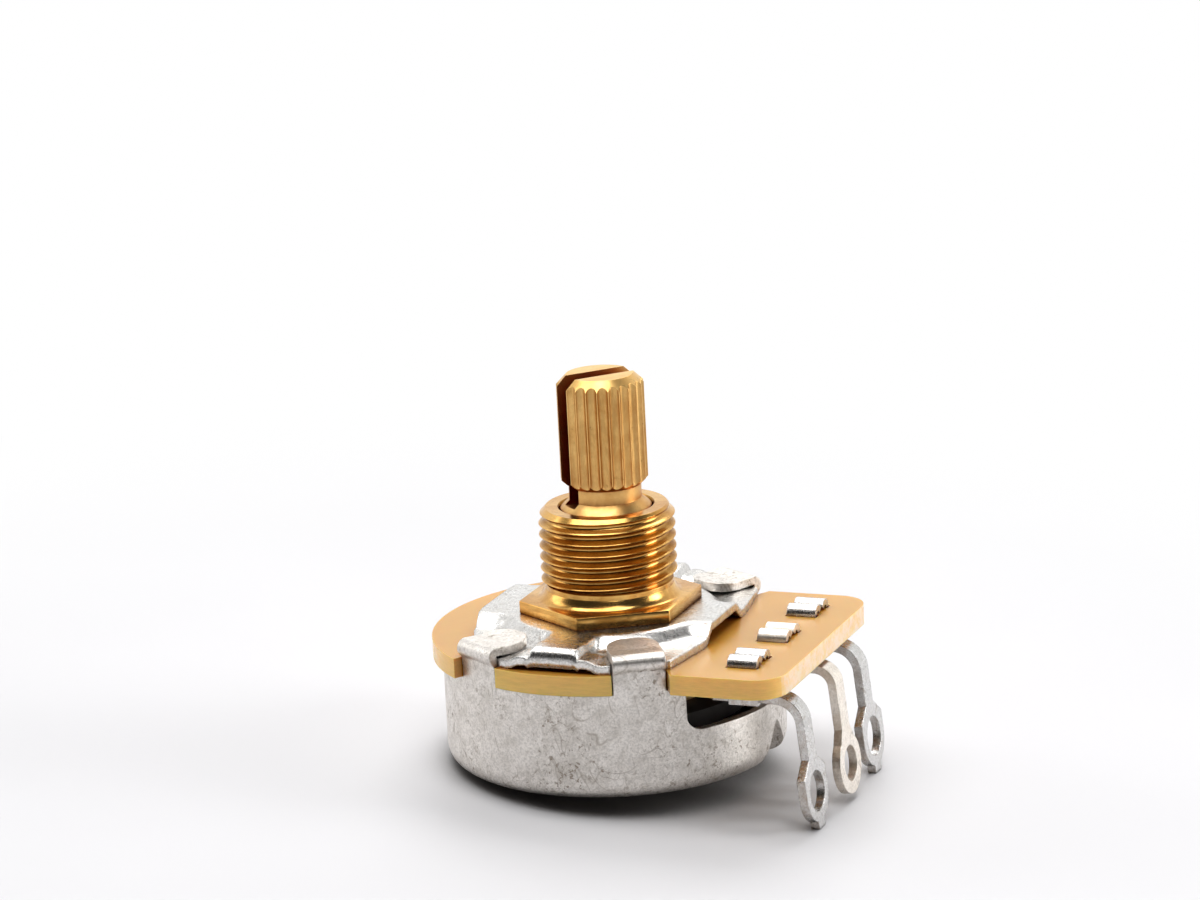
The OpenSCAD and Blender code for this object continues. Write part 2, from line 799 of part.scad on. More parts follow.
module eye_outline(hole_r, with_stub) {
    difference() {
        union() {
            circle(eye_ring_r, $fn = 72);
            polygon([
                [-eye_ring_r, 0],
                [-eye_ring_r, with_stub ? 1.3 : 0.3],
                [-lug_w / 2, with_stub ? 2.35 : 2.6],
                [lug_w / 2, with_stub ? 2.35 : 2.6],
                [eye_ring_r, with_stub ? 1.3 : 0.3],
                [eye_ring_r, 0]
            ]);
            if (with_stub) translate([-stub_w / 2, -eye_ring_r - stub_len]) square([stub_w, eye_ring_r]);
        }
        circle(hole_r, $fn = 72);
    }
}

// The leg hangs from the end of the bend and leans outwards
module lug_leg(bend_x, bend_r, top, hole_r, with_stub) {
    zc = top - bend_r;
    drop = (zc + (bend_r - lug_t / 2) * sin(lug_lean) - eye_z) / cos(lug_lean);
    translate([bend_x, 0, zc])
        rotate([0, -lug_lean, 0])
            translate([bend_r - lug_t, 0, -drop])
                rotate([90, 0, 90])
                    linear_extrude(lug_t) {
                        eye_outline(hole_r, with_stub);
                        translate([-lug_w / 2, hole_r + 0.3]) square([lug_w, drop - hole_r - 0.3]);
                    }
}

module lug(x0, bend_x, bend_r, top, hole_r, with_stub) {
    strip_xz(lug_line(x0, bend_x, bend_r, top), lug_t, lug_w);
    lug_leg(bend_x, bend_r, top, hole_r, with_stub);
    translate([prong_x, -prong_half, top - lug_t]) cube([prong_w, 2 * prong_half, lug_t]);
    mirrored_y() prong(top);
}

module outer_lug() {
    lug(foot_start, outer_bend_x, outer_bend_r, film_z, outer_eye_r, true);
}

module start_lug() {
    color([0.74, 0.73, 0.70]) translate([0, -lug_pitch, 0]) outer_lug();
}

module centre_lug() {
    color([0.83, 0.80, 0.74])
        lug(prong_x - lug_t, centre_bend_x, centre_bend_r, collector_z, centre_eye_r, false);
}

module end_lug() {
    color([0.74, 0.73, 0.70]) translate([0, lug_pitch, 0]) outer_lug();
}

// Washers and retaining ring between the bushing's tail and the rotor

module thrust_washer() {
    color([0.30, 0.22, 0.16])
        translate([0, 0, thrust_z]) ring(washer_r, washer_in_r, thrust_t);
}

// A ring bowed about one axis, cut from a thin tube of large radius
module spring_washer() {
    bow_r = (washer_r * washer_r + washer_bow * washer_bow) / (2 * washer_bow);
    z = thrust_z - seat_gap;
    color([0.62, 0.62, 0.63])
        intersection() {
            translate([0, 0, z - 1]) ring(washer_r, washer_in_r, 2);
            translate([0, 0, z - bow_r])
                rotate([90, 0, 0])
                    difference() {
                        cylinder(far, r = bow_r, center = true, $fn = 360);
                        cylinder(far + cut, r = bow_r - washer_t, center = true, $fn = 360);
                    }
        }
}

module retaining_ring() {
    color([0.35, 0.36, 0.38])
        difference() {
            translate([0, 0, clip_z]) ring(washer_r, groove_r + seat_gap, clip_t);
            wedge(60, 120, clip_z - cut, clip_t + 2 * cut);
        }
}

// Rotor, driven by the shaft's flatted tenon

module tenon_hole(z0, z1) {
    difference() {
        translate([0, 0, z0]) cylinder(z1 - z0, r = tenon_d / 2 + seat_gap);
        tenon_cut(tenon_flats + 2 * seat_gap, z0 - cut, z1 + cut);
    }
}

module stop_plate() {
    arm_w = tenon_d + 1;
    head_r = stop_r - 2.3;
    color([0.60, 0.60, 0.60])
        difference() {
            union() {
                translate([0, 0, stop_z]) cylinder(stop_t, r = hub_r);
                translate([-head_r - 0.3, -arm_w / 2, stop_z]) cube([head_r + 0.3, arm_w, stop_t]);
                intersection() {
                    translate([0, 0, stop_z]) ring(stop_r, head_r, stop_t);
                    wedge(180 - ear_half, 180 + ear_half, stop_z - cut, stop_t + 2 * cut);
                }
            }
            tenon_hole(stop_z - cut, rotor_z + cut);
        }
}

module rivet_places() {
    for (s = [-1, 1]) translate([0, s * rivet_r, 0]) children();
}

module rotor_disc() {
    color([0.28, 0.18, 0.12])
        difference() {
            union() {
                translate([0, 0, rotor_z]) cylinder(rotor_h, r = hub_r);
                translate([0, 0, spring_z - web_t]) cylinder(web_t, r = rotor_r);
            }
            tenon_hole(rotor_z - cut, spring_z + cut);
            rivet_places()
                translate([0, 0, spring_z - web_t - cut])
                    cylinder(web_t + 2 * cut, r = rivet_d / 2 + seat_gap, $fn = 32);
        }
}

// Middle lines of the contact fingers, from the base up to the tracks
base_mid = spring_z + spring_t / 2;
track_mid = film_z - touch_gap - spring_t * 0.62;
collect_mid = collector_z - touch_gap - spring_t * 0.62;
track_finger = [
    [spring_r - 0.6, base_mid],
    [spring_r + 0.2, base_mid],
    [track_r - 0.5, track_mid - 0.18],
    [track_r, track_mid],
    [track_r + 0.45, track_mid - 0.3]
];
collector_finger = [
    [spring_r + 0.4, base_mid],
    [spring_r + 1.5, base_mid],
    [spring_r + 1.75, base_mid + 0.25],
    [spring_r + 1.55, base_mid + 0.55],
    [collector_r + 0.4, collect_mid - 0.2],
    [collector_r, collect_mid],
    [collector_r - 0.4, collect_mid - 0.25]
];

module fingers(line, count) {
    pitch = finger_w + finger_gap;
    for (i = [0:count - 1])
        translate([0, (i - (count - 1) / 2) * pitch, 0]) strip_xz(line, spring_t, finger_w);
}

module contact_spring() {
    stem_w = collector_fingers * (finger_w + finger_gap) + finger_gap;
    color([0.80, 0.60, 0.35]) {
        difference() {
            union() {
                translate([0, 0, spring_z]) cylinder(spring_t, r = spring_r);
                translate([hub_r, -stem_w / 2, spring_z]) cube([spring_r + 1 - hub_r, stem_w, spring_t]);
            }
            translate([0, 0, spring_z - cut]) cylinder(spring_t + 2 * cut, r = journal_d / 2 + 0.5);
            rivet_places()
                translate([0, 0, spring_z - cut])
                    cylinder(spring_t + 2 * cut, r = rivet_d / 2 + seat_gap, $fn = 32);
        }
        rotate([0, 0, 180]) fingers(track_finger, track_fingers);
        fingers(collector_finger, collector_fingers);
    }
}

module contact_rivet(side) {
    head_r = rivet_d / 2 + 0.4;
    head_h = 0.3;
    low = spring_z - web_t;
    high = spring_z + spring_t;
    color([0.80, 0.62, 0.30])
        translate([0, side * rivet_r, 0])
            rotate_extrude($fn = 32)
                polygon([
                    [0, low - head_h],
                    [head_r - 0.15, low - head_h],
                    [head_r, low - 0.1],
                    [head_r, low],
                    [rivet_d / 2, low],
                    [rivet_d / 2, high],
                    [head_r, high],
                    [head_r, high + 0.1],
                    [head_r - 0.15, high + head_h],
                    [0, high + head_h]
                ]);
}

module left_contact_rivet() {
    contact_rivet(1);
}

module right_contact_rivet() {
    contact_rivet(-1);
}

housing_can();
mounting_plate();
threaded_bushing();
control_shaft();
terminal_board();
element_horseshoe();
carbon_track();
start_silver_pad();
end_silver_pad();
collector_ring();
start_lug();
centre_lug();
end_lug();
thrust_washer();
spring_washer();
retaining_ring();
stop_plate();
rotor_disc();
contact_spring();
left_contact_rivet();
right_contact_rivet();
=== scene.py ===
# %% [markdown]
# # A panel potentiometer, from construction data to a picture
# A potentiometer of this kind sits behind a panel. Its threaded bushing goes through a hole, a nut
# holds it there, and a knob is pushed on the split and knurled shaft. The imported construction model
# gives every rigid piece its form and its place. This lesson adds what a camera sees: the cut thread,
# the soft slopes of the pressed plate, worn metals, the amber board, a table and soft light.
# Lengths are metres, the shaft's axis is Z, and the solder lugs point along +X.

# %% load the frame
import bpy
import math
from mathutils import Matrix, Vector


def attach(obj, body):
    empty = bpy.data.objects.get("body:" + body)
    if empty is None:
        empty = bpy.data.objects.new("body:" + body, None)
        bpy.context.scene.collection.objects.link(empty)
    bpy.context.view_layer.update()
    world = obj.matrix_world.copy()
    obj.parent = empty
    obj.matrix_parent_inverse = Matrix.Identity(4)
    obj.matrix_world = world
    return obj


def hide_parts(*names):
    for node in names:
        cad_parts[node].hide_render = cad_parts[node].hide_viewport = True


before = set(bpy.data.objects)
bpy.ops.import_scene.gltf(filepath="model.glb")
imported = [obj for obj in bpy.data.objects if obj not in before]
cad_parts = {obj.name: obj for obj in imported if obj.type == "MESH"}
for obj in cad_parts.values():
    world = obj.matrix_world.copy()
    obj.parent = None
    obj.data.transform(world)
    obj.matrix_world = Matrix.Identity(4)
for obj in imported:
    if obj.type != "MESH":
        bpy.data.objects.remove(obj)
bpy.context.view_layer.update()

MM = 0.001
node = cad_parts
print("pieces in the frame:", len(node))


# %% measure the two solids that get a finer mesh
def extent(name, axis):
    """Lowest and highest place of a piece along an axis, in mm."""
    places = [vertex.co[axis] / MM for vertex in node[name].data.vertices]
    return round(min(places), 2), round(max(places), 2)


TAIL_Z, MOUTH_Z = extent("threaded_bushing", 2)
FLANGE_HALF = extent("threaded_bushing", 0)[1]
FOOT_Z = extent("mounting_plate", 2)[0]
BACK_EDGE, FRONT_EDGE = extent("mounting_plate", 0)
print("bushing from", TAIL_Z, "to", MOUTH_Z, "and", 2 * FLANGE_HALF, "across its flats")
print("plate from", BACK_EDGE, "to", FRONT_EDGE, "on feet at", FOOT_Z)

# %% [markdown]
# ## Drawing and turning
# A turned part is easy to make as it is made on a lathe: draw half of its section as a line, then spin
# the line about the axis. An operator acts on all that is selected, and the frame's pieces are all
# selected after loading, so each helper first selects its own object and nothing else.

# %% helpers that draw, clean, turn and join
WELD = 0.002 * MM
ROUND_STEPS = 96


def activate(obj):
    """Makes obj the active object and the only one that is selected."""
    bpy.ops.object.select_all(action="DESELECT")
    obj.select_set(True)
    bpy.context.view_layer.objects.active = obj


def draw_line(name, points):
    """Starts an object as one vertex and extrudes it from point to point. It stays in edit mode."""
    bpy.ops.object.select_all(action="DESELECT")
    bpy.ops.mesh.primitive_plane_add(size=MM)
    obj = bpy.context.object
    obj.name = name
    bpy.ops.object.mode_set(mode="EDIT")
    bpy.ops.mesh.select_mode(type="VERT")
    bpy.ops.mesh.select_all(action="SELECT")
    bpy.ops.mesh.merge(type="CENTER")
    places = [Vector([value * MM for value in point]) for point in points]
    bpy.ops.transform.translate(value=places[0])
    for last, now in zip(places, places[1:]):
        bpy.ops.mesh.extrude_vertices_move(TRANSFORM_OT_translate={"value": now - last})
    bpy.ops.mesh.select_all(action="SELECT")
    return obj


def face_outwards():
    bpy.ops.mesh.select_all(action="SELECT")
    bpy.ops.mesh.normals_make_consistent(inside=False)


def lathe(name, section, steps=ROUND_STEPS):
    """A turned solid: half of its section, as (radius, height) in mm, spun about Z."""
    obj = draw_line(name, [(radius, 0, height) for radius, height in section])
    bpy.ops.mesh.spin(steps=steps, angle=math.tau, center=(0, 0, 0), axis=(0, 0, 1))
    bpy.ops.mesh.select_all(action="SELECT")
    bpy.ops.mesh.remove_doubles(threshold=WELD)
    face_outwards()
    bpy.ops.object.mode_set(mode="OBJECT")
    return obj


def combine(obj, other, how):
    """Unites, cuts or intersects obj with other, which is used up."""
    activate(obj)
    step = obj.modifiers.new("combine", "BOOLEAN")
    step.operation = how
    step.solver = "EXACT"
    step.object = other
    bpy.ops.object.modifier_apply(modifier=step.name)
    bpy.data.objects.remove(other)


def finish_shading(obj, angle):
    """Leaves edit mode and shades all edges smoothly that turn less than angle, in degrees."""
    bpy.ops.object.mode_set(mode="OBJECT")
    activate(obj)
    bpy.ops.object.shade_smooth_by_angle(angle=math.radians(angle))


print("points closer than", WELD / MM, "mm are welded")

# %% [markdown]
# ## The thread of the bushing
# The real bushing is cut from brass bar, with a fine thread of 32 turns to the inch. The construction
# model holds a plain cylinder there. A stack of rings would look right from afar, but in a real thread
# every turn runs on into the next, and a close view shows it. So one turn's section is drawn and swept
# up the axis by a screw modifier, which is how the lathe's tool travels too.

# %% one turn of the thread, in mm
PITCH = 25.4 / 32
TURNS = 9
FIRST_TURN = 11.95
ROOT_R = 4.27
# root, flank, rounded crest, and down again to where the next turn starts
one_turn = [
    (ROOT_R, 0.0), (4.28, 0.10), (4.34, 0.19), (4.58, 0.325), (4.70, 0.38), (4.74, 0.42),
    (4.70, 0.46), (4.58, 0.515), (4.34, 0.65), (4.28, 0.74), (ROOT_R, PITCH),
]
section = [(radius, 0, FIRST_TURN + height) for radius, height in one_turn]
thread = draw_line("threaded_bushing_thread", section)
# the thread starts at the far side, where the camera doesn't see its first turn grow
bpy.ops.transform.rotate(value=-math.pi / 2, orient_axis="Z", center_override=(0, 0, 0))
bpy.ops.object.mode_set(mode="OBJECT")
print("the thread starts at", [round(v / MM, 2) for v in thread.data.vertices[0].co])

# %% sweep it up the axis
screw = thread.modifiers.new("screw", "SCREW")
screw.angle = math.tau
screw.screw_offset = PITCH * MM
screw.iterations = TURNS
screw.steps = ROUND_STEPS
screw.render_steps = ROUND_STEPS
screw.use_merge_vertices = True
screw.merge_threshold = WELD
activate(thread)
bpy.ops.object.modifier_apply(modifier="screw")
print("faces of the open thread:", len(thread.data.polygons))

# %% close both ends, so that booleans can cut it
bpy.ops.object.mode_set(mode="EDIT")
bpy.ops.mesh.select_mode(type="EDGE")
bpy.ops.mesh.select_all(action="SELECT")
bpy.ops.mesh.remove_doubles(threshold=2 * WELD)
bpy.ops.mesh.select_all(action="DESELECT")
bpy.ops.mesh.select_non_manifold(extend=False, use_wire=False, use_multi_face=False,
                                 use_non_contiguous=False, use_verts=False)
bpy.ops.mesh.fill_holes(sides=0)
bpy.ops.mesh.select_mode(type="FACE")
bpy.ops.mesh.select_face_by_sides(number=4, type="GREATER", extend=False)
bpy.ops.mesh.poke()
face_outwards()
bpy.ops.object.mode_set(mode="OBJECT")
print("faces of the closed thread:", len(thread.data.polygons))

# %% [markdown]
# ## The rest of the bushing
# On the lathe the thread ends in a chamfer at the mouth, and runs out into a relief above the flange.
# Cutting these into the finished thread by booleans leaves the same edges as the tool does, where the
# chamfer slices through the crests. The flange is a hexagon, because the bar was one.

# %% trim the thread to its chamfer and run-out
RUN_OUT_Z = 12.32
RUN_OUT_H = 0.34
RUN_OUT_R = 4.36
CREST_R = 4.76
CHAMFER = 0.54
limits = lathe("thread_limits", [
    (0, RUN_OUT_Z), (RUN_OUT_R, RUN_OUT_Z), (CREST_R, RUN_OUT_Z + RUN_OUT_H),
    (CREST_R, MOUTH_Z - CHAMFER), (CREST_R - CHAMFER, MOUTH_Z), (0, MOUTH_Z),
])
combine(thread, limits, "INTERSECT")
print("faces of the trimmed thread:", len(thread.data.polygons))

# %% the base: tail and staked collar behind the plate, neck, seat and relief
TAIL_R = 3.95
COLLAR_R = 4.9
COLLAR_Z = 9.35
NECK_R = 4.3
CROWN_BACK = 9.8
CROWN_FRONT = 10.4
SEAT_R = 5.1
SEAT_SUNK = 0.1
FLANGE_TOP = 11.3
EDGE = 0.2
base = lathe("bushing_base", [
    (0, TAIL_Z), (TAIL_R - EDGE, TAIL_Z), (TAIL_R, TAIL_Z + EDGE), (TAIL_R, COLLAR_Z),
    (COLLAR_R - EDGE, COLLAR_Z), (COLLAR_R, COLLAR_Z + EDGE), (COLLAR_R, CROWN_BACK),
    (NECK_R, CROWN_BACK), (NECK_R, CROWN_FRONT), (NECK_R, FLANGE_TOP - SEAT_SUNK),
    (SEAT_R, FLANGE_TOP - SEAT_SUNK), (SEAT_R, FLANGE_TOP),
    # a hollow curve from the flange up to the relief, which ends inside the thread
    (4.97, 11.34), (4.83, 11.43), (4.7, 11.57), (4.59, 11.74), (4.51, 11.92), (4.45, 12.0),
    (4.44, 12.34), (4.3, 12.42), (4.2, 12.6), (0, 12.6),
])
print("faces of the base:", len(base.data.polygons))

# %% the hexagonal flange, with its corners just broken
FLANGE_T = FLANGE_TOP - CROWN_FRONT
BROKEN = 0.06
bpy.ops.object.select_all(action="DESELECT")
bpy.ops.mesh.primitive_cylinder_add(
    vertices=6, radius=FLANGE_HALF * MM / math.cos(math.pi / 6), depth=FLANGE_T * MM,
    location=(0, 0, 0), end_fill_type="NGON")
hexagon = bpy.context.object
activate(hexagon)
bpy.ops.object.mode_set(mode="EDIT")
bpy.ops.mesh.select_all(action="SELECT")
bpy.ops.transform.translate(value=(0, 0, (CROWN_FRONT + FLANGE_T / 2) * MM))
bpy.ops.mesh.bevel(offset=BROKEN * MM, segments=2, affect="EDGES")
bpy.ops.object.mode_set(mode="OBJECT")
combine(base, hexagon, "UNION")
combine(thread, base, "UNION")
print("faces of the bushing before boring:", len(thread.data.polygons))

# %% bore it for the shaft, and clean what the booleans leave
BORE_R = 3.2
COUNTERSINK = 0.2
# the cutter reaches past both ends of the bushing
PAST_TAIL = 0.2
PAST_MOUTH = 0.05
bore = lathe("bore", [
    (0, TAIL_Z - PAST_TAIL), (BORE_R, TAIL_Z - PAST_TAIL), (BORE_R, MOUTH_Z - COUNTERSINK),
    (BORE_R + COUNTERSINK, MOUTH_Z + PAST_MOUTH), (0, MOUTH_Z + PAST_MOUTH),
])
combine(thread, bore, "DIFFERENCE")
bpy.ops.object.mode_set(mode="EDIT")
bpy.ops.mesh.select_all(action="SELECT")
bpy.ops.mesh.remove_doubles(threshold=1.5 * WELD)
bpy.ops.mesh.dissolve_degenerate(threshold=1.5 * WELD)
face_outwards()
finish_shading(thread, angle=35)
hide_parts("threaded_bushing")
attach(thread, "case")
print("faces of the bushing:", len(thread.data.polygons))

# %% [markdown]
# ## The pressed plate
# The real plate is one sheet that was pressed over a die. A round crown in its middle carries the
# bushing, a ridge runs to either end, and an ear curls down at either side. Between them are the four
# feet that the can's tabs hold. Flat and sloped faces with bevels would show a joint wherever two
# slopes meet. So a flat sheet of many small faces is cut to the outline first, and then every point is
# lifted to the height of the die below it, as the press does.

# %% sizes of the plate, in mm
SHEET = 0.6
CROWN_R = 6.91
HOLE_R = 4.33
FOOT_R = 11.6
EAR_REACH = 11.2
# one half of the outline, from the lugs' end to the far one
half_outline = [
    (FRONT_EDGE, 4.15), (7.6, 9.0), (7.6, EAR_REACH), (-7.7, EAR_REACH), (-7.7, 6.35),
    (-8.25, 5.05), (BACK_EDGE, 2.45),
]
outline = half_outline + [(x, -y) for x, y in reversed(half_outline)]
print("corners of the outline:", len(outline))


# %% helpers for upright cutters
def prism(name, corners, low, high):
    """An upright block over corners (x, y), from low to high, in mm."""
    obj = draw_line(name, [(x, y, low) for x, y in corners])
    bpy.ops.mesh.edge_face_add()
    bpy.ops.mesh.extrude_region_move(TRANSFORM_OT_translate={"value": (0, 0, (high - low) * MM)})
    face_outwards()
    bpy.ops.object.mode_set(mode="OBJECT")
    return obj


def disc(name, radius, low, high):
    return lathe(name, [(0, low), (radius, low), (radius, high), (0, high)], steps=160)


# %% the blank: outline, round ends, hole for the bushing and slots for the can's tabs
BLANK_LOW, BLANK_HIGH = 8, 12
CUT_LOW, CUT_HIGH = 7, 13
TAB_ANGLES = (60, 120, 240, 300)
TAB_R = 11.0
TAB_HALF = 1.9
TAB_END = 14
tab_slot = [(TAB_R, -TAB_HALF), (TAB_END, -TAB_HALF), (TAB_END, TAB_HALF), (TAB_R, TAB_HALF)]
blank = prism("plate_blank", outline, BLANK_LOW, BLANK_HIGH)
combine(blank, disc("plate_round", FOOT_R, CUT_LOW, CUT_HIGH), "INTERSECT")
combine(blank, disc("plate_hole", HOLE_R, CUT_LOW, CUT_HIGH), "DIFFERENCE")
for angle in TAB_ANGLES:
    slot = prism("tab_slot", tab_slot, CUT_LOW, CUT_HIGH)
    bpy.ops.object.mode_set(mode="EDIT")
    bpy.ops.mesh.select_all(action="SELECT")
    bpy.ops.transform.rotate(value=-math.radians(angle), orient_axis="Z", center_override=(0, 0, 0))
    bpy.ops.object.mode_set(mode="OBJECT")
    combine(blank, slot, "DIFFERENCE")
print("faces of the blank:", len(blank.data.polygons))

# %% a sheet of small faces, cut to the blank
GRID_SIZE = 24
GRID_STEPS = 160
bpy.ops.object.select_all(action="DESELECT")
bpy.ops.mesh.primitive_grid_add(x_subdivisions=GRID_STEPS, y_subdivisions=GRID_STEPS, size=GRID_SIZE * MM)
sheet = bpy.context.object
sheet.name = "mounting_plate_pressed"
bpy.ops.object.mode_set(mode="EDIT")
bpy.ops.mesh.select_all(action="SELECT")
bpy.ops.transform.translate(value=(0, 0, FOOT_Z * MM))
bpy.ops.mesh.extrude_region_move(TRANSFORM_OT_translate={"value": (0, 0, SHEET * MM)})
face_outwards()
bpy.ops.object.mode_set(mode="OBJECT")
combine(sheet, blank, "INTERSECT")
print("faces of the sheet:", len(sheet.data.polygons))

# %% sizes of the die, in mm
# height of the raised parts over the feet, and length of the slope down from them
RISE = 0.85
SLOPE = 1.35
RIDGE_HALF_FRONT = 2.3
RIDGE_HALF_BACK = 3.4
# the ear: half its width, its steep sides, and the roll and drop of its end
EAR_HALF = 1.57
EAR_SIDE = 0.4
EAR_ROLL = 0.7
EAR_DROP = 0.75
EAR_FROM = CROWN_R - 1
CURL_END = 0.995
# the ear swells a little before it rolls down
CREST = 0.12
CREST_FROM = 1.5
CREST_LENGTH = 1.4
# the shelf beside the ear, as a share of the rise, and where it starts and ends
SHELF = 0.42
SHELF_WIDTH = 0.8
SHELF_SIDE = 1.1
SHELF_FROM = 8.0
SHELF_LENGTH = 1.5
print("raised parts stand", RISE, "mm over the feet")


# %% the die's height at a point of the sheet
def rise(t):
    """0 below 0 and 1 above 1, with a soft curve between."""
    t = min(max(t, 0.0), 1.0)
    return t * t * (3 - 2 * t)


def ear(x, y):
    """The ear's height as a share of the rise, with a low shelf beside it at the rim."""
    if abs(y) <= EAR_FROM:
        return 0.0
    beside = max(0.0, abs(x) - EAR_HALF)
    across = 1 - rise((beside - SHELF_WIDTH) / SHELF_SIDE)
    outwards = rise((abs(y) - SHELF_FROM) / SHELF_LENGTH)
    return max(1 - rise(beside / EAR_SIDE), SHELF * across * outwards)


def curled_end(x, y):
    """How far the ear swells to its crest and then rolls down at its end, in mm."""
    on_ear = 1 - rise((abs(x) - EAR_HALF) / EAR_SIDE)
    curl = min(max(0.0, abs(y) - (EAR_REACH - EAR_ROLL)) / EAR_ROLL, CURL_END)
    crest = CREST * rise((abs(y) - CROWN_R - CREST_FROM) / CREST_LENGTH)
    return on_ear * (crest - EAR_DROP * (1 - math.sqrt(1 - curl * curl)))


def die(x, y):
    """Height of the die in mm: crown, ear and ridge run into each other with soft slopes."""
    crown = 1 - rise((math.hypot(x, y) - CROWN_R) / SLOPE)
    half = RIDGE_HALF_FRONT if x > 0 else RIDGE_HALF_BACK
    ridge = 1 - rise((abs(y) - half) / SLOPE)
    flat = math.prod(1 - part for part in (crown, ear(x, y), ridge))
    return RISE * (1 - flat) + curled_end(x, y)


print("height of the die in the middle and at a foot:", die(0, 0), round(die(7, 7), 3))

# %% press it
activate(sheet)
for vertex in sheet.data.vertices:
    vertex.co.z += die(vertex.co.x / MM, vertex.co.y / MM) * MM
finish_shading(sheet, angle=50)
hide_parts("mounting_plate")
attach(sheet, "case")
print("plate height in mm:", round(max(v.co.z for v in sheet.data.vertices) / MM, 3))

# %% [markdown]
# ## How the materials are built
# No picture is used: each finish is a node tree that mixes noise of several sizes. Object coordinates
# are in metres, so a noise scale of 1000 gives features of about a millimetre. They stick to the piece,
# so a stain stays where it is when the shaft turns or the camera moves.


# %% node tools: start a material, set a socket, read the object's space
def new_material(name):
    mat = bpy.data.materials.new(name)
    mat.use_nodes = True
    tree = mat.node_tree
    return mat, tree, tree.nodes["Principled BSDF"]


def feed(tree, socket, value):
    """Sets a socket to a value, or links the output that is given."""
    if isinstance(value, (int, float)):
        socket.default_value = value
    elif isinstance(value, tuple):
        socket.default_value = (*value, 1.0) if len(socket.default_value) == 4 else value
    else:
        tree.links.new(value, socket)


def object_space(tree, scale=(1, 1, 1), turn=(0, 0, 0)):
    coord = tree.nodes.new("ShaderNodeTexCoord")
    mapping = tree.nodes.new("ShaderNodeMapping")
    mapping.inputs["Scale"].default_value = scale
    mapping.inputs["Rotation"].default_value = turn
    tree.links.new(coord.outputs["Object"], mapping.inputs["Vector"])
    return mapping.outputs["Vector"]


def noise(tree, space, scale, detail=4.0, rough=0.55, distort=0.0):
    item = tree.nodes.new("ShaderNodeTexNoise")
    item.inputs["Scale"].default_value = scale
    item.inputs["Detail"].default_value = detail
    item.inputs["Roughness"].default_value = rough
    item.inputs["Distortion"].default_value = distort
    tree.links.new(space, item.inputs["Vector"])
    return item.outputs["Fac"]


# %% node tools: combine values and colours
def math_node(tree, how, a, b=0.0):
    item = tree.nodes.new("ShaderNodeMath")
    item.operation = how
    feed(tree, item.inputs[0], a)
    feed(tree, item.inputs[1], b)
    return item.outputs[0]


def times(tree, a, b):
    return math_node(tree, "MULTIPLY", a, b)


def ramp(tree, source, stops):
    """A colour ramp; the stops are (place, grey or colour)."""
    item = tree.nodes.new("ShaderNodeValToRGB")
    while len(item.color_ramp.elements) < len(stops):
        item.color_ramp.elements.new(0.5)
    for element, (place, value) in zip(item.color_ramp.elements, stops):
        element.position = place
        colour = value if isinstance(value, tuple) else (value, value, value)
        element.color = (*colour, 1.0)
    tree.links.new(source, item.inputs["Fac"])
    return item.outputs["Color"]


def mix(tree, fac, a, b):
    """Colour a where fac is 0 and colour b where it is 1."""
    item = tree.nodes.new("ShaderNodeMix")
    item.data_type = "RGBA"
    feed(tree, item.inputs[0], fac)
    feed(tree, item.inputs[6], a)
    feed(tree, item.inputs[7], b)
    return item.outputs[2]


def shades(colour, low):
    return tuple(low * c for c in colour)


# %% node tools: relief, soft edges and dirty corners
def bump(tree, height, strength, distance, below):
    item = tree.nodes.new("ShaderNodeBump")
    item.inputs["Strength"].default_value = strength
    item.inputs["Distance"].default_value = distance
    tree.links.new(height, item.inputs["Height"])
    tree.links.new(below, item.inputs["Normal"])
    return item.outputs["Normal"]


def soft_edges(tree, radius):
    """Normals that run round every edge, as on a pressed or tumbled piece."""
    item = tree.nodes.new("ShaderNodeBevel")
    item.samples = 6
    item.inputs["Radius"].default_value = radius
    return item.outputs["Normal"]


def openness(tree, reach):
    """1 in the open and towards 0 in grooves and corners, looking as far as reach in metres."""
    item = tree.nodes.new("ShaderNodeAmbientOcclusion")
    item.samples = 6
    item.inputs["Distance"].default_value = reach
    return item.outputs["AO"]


def face_along(tree, axis):
    """How squarely a face looks along X, Y or Z."""
    geometry = tree.nodes.new("ShaderNodeNewGeometry")
    split = tree.nodes.new("ShaderNodeSeparateXYZ")
    tree.links.new(geometry.outputs["True Normal"], split.inputs[0])
    return math_node(tree, "ABSOLUTE", split.outputs[axis])


# %% [markdown]
# ## Tinned steel
# The can, the plate and two of the lugs are steel with a thin coat of tin. The real can is cloudy with
# small brown pits and fine scratches. Its corners are painted darker, as painted shade. One grey with a
# roughness map would look like plastic. Here cloudy noise changes colour and roughness together, so the
# same spots are darker and duller, and scratches are drawn where a smooth noise crosses its middle value.

# %% colours of the wear
PIT = (0.26, 0.21, 0.16)
SCRATCH = (0.30, 0.25, 0.20)
CORNER_SHADE = (0.20, 0.17, 0.14)
# scale, turn and width of three layers of scratches
SCRATCHES = ((240, (0.5, 0.2, 0), 0.006), (520, (0.1, 0.9, 0.4), 0.010), (900, (0.9, 0, 1.1), 0.016))


def hairlines(tree, space, scale, width):
    """Thin wandering scratches: 1 on the line where a smooth noise crosses its middle value."""
    field = noise(tree, space, scale, 1.0, 0.4, 0.6)
    away = math_node(tree, "ABSOLUTE", math_node(tree, "SUBTRACT", field, 0.5))
    return ramp(tree, away, ((0.0, 1.0), (width, 0.0)))


def scratched(tree, space, colour):
    """Adds the layers of scratches, each one broken off by a noise of its own."""
    for scale, turn, width in SCRATCHES:
        lines = hairlines(tree, object_space(tree, (1, 1, 0.5), turn), scale, width)
        broken = ramp(tree, noise(tree, space, 0.9 * scale, 2), ((0.50, 0.0), (0.6, 1.0)))
        colour = mix(tree, times(tree, times(tree, lines, broken), 0.55), colour, SCRATCH)
    return colour


print("layers of scratches:", len(SCRATCHES))


